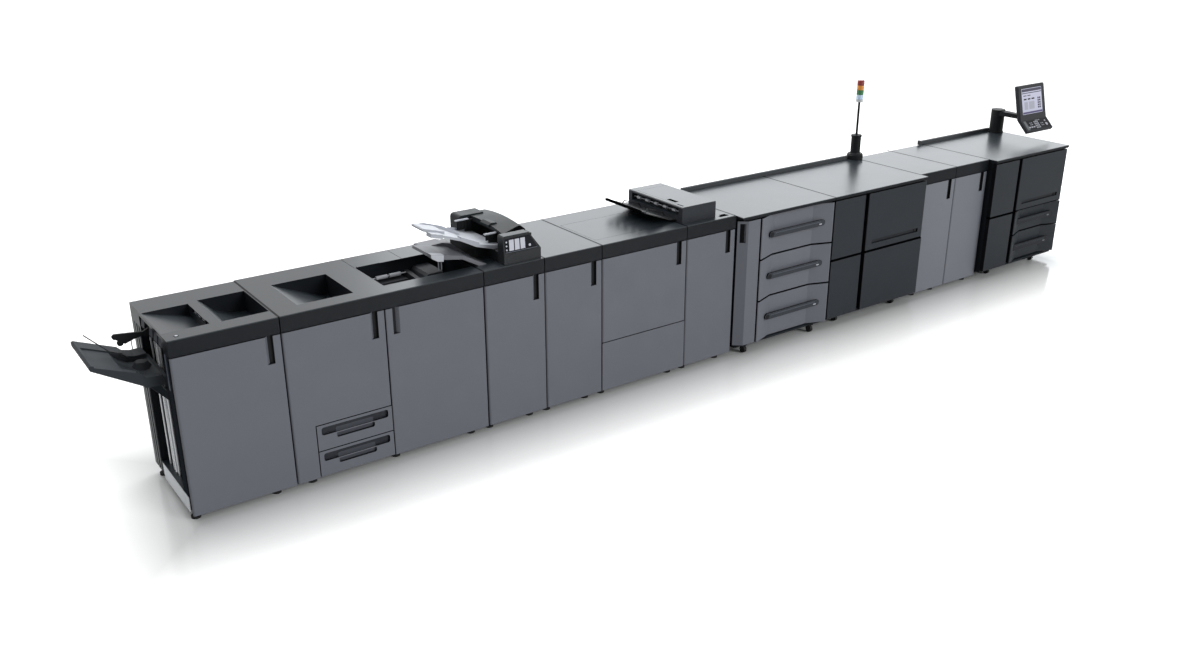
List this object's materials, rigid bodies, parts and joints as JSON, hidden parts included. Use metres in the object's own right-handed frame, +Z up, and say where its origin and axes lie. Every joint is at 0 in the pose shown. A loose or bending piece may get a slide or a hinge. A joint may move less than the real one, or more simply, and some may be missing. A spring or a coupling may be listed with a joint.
{
  "type": "digital production printer",
  "caption": "Long tandem printing line of docked cabinets: finishing modules with trays, a paper feeder with drawers, print engines, a signal tower and a swivel panel.",
  "frame": {"origin": "on the floor, in the middle of the line's box", "axes": "+X along the line from the finisher to the main engine, +Y from the doors to the back, +Z up"},
  "size_m": [8.067, 0.812, 1.67],
  "materials": {
    "case_grey": "satin",
    "door_grey": "satin",
    "top_cover": "satin",
    "bridge_grey": "satin",
    "feeder_grey": "satin",
    "engine_charcoal": "satin",
    "dark_plastic": "fine grained",
    "black_plastic": "fine grained",
    "inserter_shell": "satin",
    "pale_plastic": "satin",
    "wire_black": "satin",
    "rod_steel": "polished",
    "lamp_plastic": "glossy, in coloured tiers",
    "tray_grey": "satin",
    "pale_metal": "satin",
    "key_grey": "satin",
    "foot_rubber": "matt"
  },
  "bodies": {
    "line_frame": {"finisher_cabinet": "case_grey", "finisher_top_cover": "top_cover", "finisher_end_plate": "pale_metal", "finisher_exit_flaps": "pale_metal", "tray_lift_rods": "rod_steel", "sheet_press_arm": "black_plastic", "binder_cabinet": "case_grey", "binder_top_cover": "top_cover", "book_tray": "dark_plastic", "folder_cabinet": "top_cover", "inserter_base": "black_plastic", "inserter_hood": "inserter_shell", "inserter_upper_tray": "pale_plastic", "inserter_lower_tray": "tray_grey", "inserter_guide_bars": "pale_plastic", "inserter_control_box": "inserter_shell", "inserter_keys": "key_grey", "punch_cabinet": "top_cover", "stacker_cabinet": "top_cover", "stacker_lower_cover": "door_grey", "exit_unit": "inserter_shell", "exit_unit_tray": "wire_black", "sheet_rollers": "pale_plastic", "relay_cabinet": "top_cover", "feeder_cabinet": "top_cover", "second_engine_cabinet": "top_cover", "second_engine_covers": "engine_charcoal", "bridge_cabinet": "top_cover", "main_engine_cabinet": "top_cover", "main_engine_covers": "engine_charcoal", "rear_rails": "dark_plastic", "signal_tower": "black_plastic", "signal_lamp": "lamp_plastic", "panel_post": "black_plastic", "levelling_feet": "foot_rubber"},
    "finisher_door": {"finisher_door": "door_grey"},
    "binder_left_door": {"binder_left_door": "door_grey"},
    "binder_right_door": {"binder_right_door": "door_grey"},
    "folder_door": {"folder_door": "door_grey"},
    "punch_door": {"punch_door": "door_grey"},
    "stacker_door": {"stacker_door": "door_grey"},
    "relay_door": {"relay_door": "door_grey"},
    "feeder_side_door": {"feeder_side_door": "door_grey"},
    "second_engine_door": {"second_engine_door": "engine_charcoal"},
    "bridge_left_door": {"bridge_left_door": "bridge_grey"},
    "bridge_right_door": {"bridge_right_door": "bridge_grey"},
    "main_engine_door": {"main_engine_door": "engine_charcoal"},
    "binder_upper_drawer": {"binder_upper_drawer": "door_grey"},
    "binder_lower_drawer": {"binder_lower_drawer": "door_grey"},
    "feeder_top_drawer": {"feeder_top_drawer": "feeder_grey"},
    "feeder_middle_drawer": {"feeder_middle_drawer": "feeder_grey"},
    "feeder_bottom_drawer": {"feeder_bottom_drawer": "feeder_grey"},
    "main_engine_upper_drawer": {"main_engine_upper_drawer": "engine_charcoal"},
    "main_engine_lower_drawer": {"main_engine_lower_drawer": "engine_charcoal"},
    "output_tray": {"output_tray": "dark_plastic", "tray_wire_stop": "wire_black"},
    "panel_arm": {"panel_arm": "black_plastic"},
    "operation_panel": {"operation_panel": "dark_plastic", "panel_keys": "key_grey"}
  },
  "joints": [
    {"name": "finisher_door_hinge", "type": "hinge", "parent": "line_frame", "child": "finisher_door", "pos_m": [-3.6755, -0.332, 0.5], "axis": [0, 0, -1], "range_deg": [0, 90]},
    {"name": "binder_left_door_hinge", "type": "hinge", "parent": "line_frame", "child": "binder_left_door", "pos_m": [-3.0955, -0.332, 0.5], "axis": [0, 0, -1], "range_deg": [0, 90]},
    {"name": "binder_right_door_hinge", "type": "hinge", "parent": "line_frame", "child": "binder_right_door", "pos_m": [-1.8905, -0.332, 0.5], "axis": [0, 0, 1], "range_deg": [0, 90]},
    {"name": "folder_door_hinge", "type": "hinge", "parent": "line_frame", "child": "folder_door", "pos_m": [-1.8585, -0.332, 0.5], "axis": [0, 0, -1], "range_deg": [0, 90]},
    {"name": "punch_door_hinge", "type": "hinge", "parent": "line_frame", "child": "punch_door", "pos_m": [-1.4335, -0.332, 0.5], "axis": [0, 0, -1], "range_deg": [0, 90]},
    {"name": "stacker_door_hinge", "type": "hinge", "parent": "line_frame", "child": "stacker_door", "pos_m": [-1.0025, -0.332, 0.5], "axis": [0, 0, -1], "range_deg": [0, 90]},
    {"name": "relay_door_hinge", "type": "hinge", "parent": "line_frame", "child": "relay_door", "pos_m": [-0.3075, -0.332, 0.5], "axis": [0, 0, -1], "range_deg": [0, 90]},
    {"name": "feeder_side_door_hinge", "type": "hinge", "parent": "line_frame", "child": "feeder_side_door", "pos_m": [0.2835, -0.387, 0.5], "axis": [0, 0, 1], "range_deg": [0, 90]},
    {"name": "second_engine_door_hinge", "type": "hinge", "parent": "line_frame", "child": "second_engine_door", "pos_m": [2.0355, -0.387, 0.5], "axis": [0, 0, 1], "range_deg": [0, 90]},
    {"name": "bridge_left_door_hinge", "type": "hinge", "parent": "line_frame", "child": "bridge_left_door", "pos_m": [2.0745, -0.312, 0.5], "axis": [0, 0, -1], "range_deg": [0, 90]},
    {"name": "bridge_right_door_hinge", "type": "hinge", "parent": "line_frame", "child": "bridge_right_door", "pos_m": [2.5115, -0.312, 0.5], "axis": [0, 0, -1], "range_deg": [0, 90]},
    {"name": "main_engine_door_hinge", "type": "hinge", "parent": "line_frame", "child": "main_engine_door", "pos_m": [3.8985, -0.387, 0.5], "axis": [0, 0, 1], "range_deg": [0, 90]},
    {"name": "binder_upper_drawer_slide", "type": "slide", "parent": "line_frame", "child": "binder_upper_drawer", "axis": [0, -1, 0], "range_m": [0, 0.38]},
    {"name": "binder_lower_drawer_slide", "type": "slide", "parent": "line_frame", "child": "binder_lower_drawer", "axis": [0, -1, 0], "range_m": [0, 0.38]},
    {"name": "feeder_top_drawer_slide", "type": "slide", "parent": "line_frame", "child": "feeder_top_drawer", "axis": [0, -1, 0], "range_m": [0, 0.5]},
    {"name": "feeder_middle_drawer_slide", "type": "slide", "parent": "line_frame", "child": "feeder_middle_drawer", "axis": [0, -1, 0], "range_m": [0, 0.5]},
    {"name": "feeder_bottom_drawer_slide", "type": "slide", "parent": "line_frame", "child": "feeder_bottom_drawer", "axis": [0, -1, 0], "range_m": [0, 0.5]},
    {"name": "main_engine_upper_drawer_slide", "type": "slide", "parent": "line_frame", "child": "main_engine_upper_drawer", "axis": [0, -1, 0], "range_m": [0, 0.5]},
    {"name": "main_engine_lower_drawer_slide", "type": "slide", "parent": "line_frame", "child": "main_engine_lower_drawer", "axis": [0, -1, 0], "range_m": [0, 0.5]},
    {"name": "output_tray_lift", "type": "slide", "parent": "line_frame", "child": "output_tray", "axis": [0, 0, -1], "range_m": [0, 0.45]},
    {"name": "panel_arm_swivel", "type": "hinge", "parent": "line_frame", "child": "panel_arm", "pos_m": [3.8595, 0.303, 1.2], "axis": [0, 0, 1], "range_deg": [-45, 45]},
    {"name": "operation_panel_tilt", "type": "hinge", "parent": "panel_arm", "child": "operation_panel", "pos_m": [3.8505, -0.005, 1.21], "axis": [1, 0, 0], "range_deg": [-20, 15]}
  ]
}
